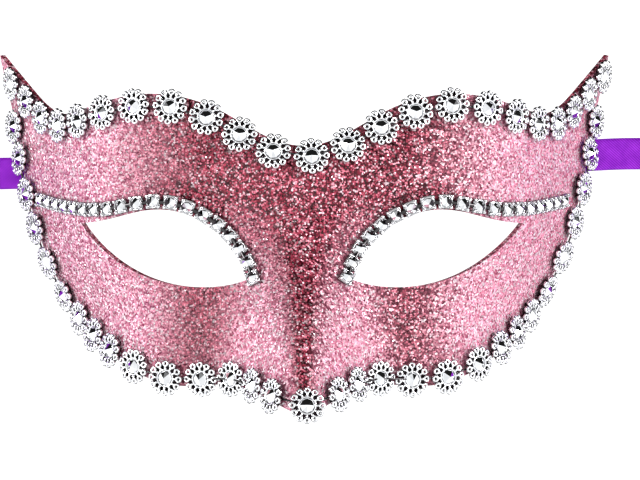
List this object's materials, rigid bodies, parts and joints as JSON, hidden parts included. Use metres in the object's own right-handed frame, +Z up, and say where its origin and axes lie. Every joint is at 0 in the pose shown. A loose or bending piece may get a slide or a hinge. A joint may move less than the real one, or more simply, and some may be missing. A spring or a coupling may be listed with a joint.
{
  "type": "venetian masquerade mask",
  "caption": "Half-face masquerade mask with winged temples, glitter front, silver flower and rhinestone trims, eye chains and two ribbon ties.",
  "frame": {"origin": "centre of the mask's own extent across and along, on the table it lies on (ribbons not counted)", "axes": "+Z up off the table, out of the mask's face; +X to the right as one looks at the face; +Y towards the brow and wings"},
  "size_m": [0.3192, 0.1292, 0.0683],
  "materials": {
    "shell": "matte white vacuum-formed sheet",
    "glitter": "glitter film in crimson, rose and pale pink",
    "silver": "bright metallised plastic",
    "stone": "clear faceted, mirror backed",
    "satin": "satin ribbon",
    "felt": "white felt patch"
  },
  "bodies": {
    "mask": {"mask_shell": "shell", "glitter_cover": "glitter", "top_trim": "silver", "top_trim_stones": "stone", "side_trim": "silver", "side_trim_stones": "stone", "right_eye_chain": "silver", "right_eye_chain_stones": "stone", "left_eye_chain": "silver", "left_eye_chain_stones": "stone", "right_ribbon_end": "satin", "right_ribbon_pad": "felt", "left_ribbon_end": "satin", "left_ribbon_pad": "felt"},
    "right_tie": {"right_ribbon": "satin", "right_ribbon_roll": "satin"},
    "left_tie": {"left_ribbon": "satin", "left_ribbon_roll": "satin"}
  },
  "joints": [
    {"name": "right_tie_swing", "type": "hinge", "parent": "mask", "child": "right_tie", "pos_m": [0.08533, 0.03317, 0.0002], "axis": [0, 1, 0], "range_deg": [0, 90]},
    {"name": "left_tie_swing", "type": "hinge", "parent": "mask", "child": "left_tie", "pos_m": [-0.08587, 0.0277, 0.0002], "axis": [0, -1, 0], "range_deg": [0, 90]}
  ]
}
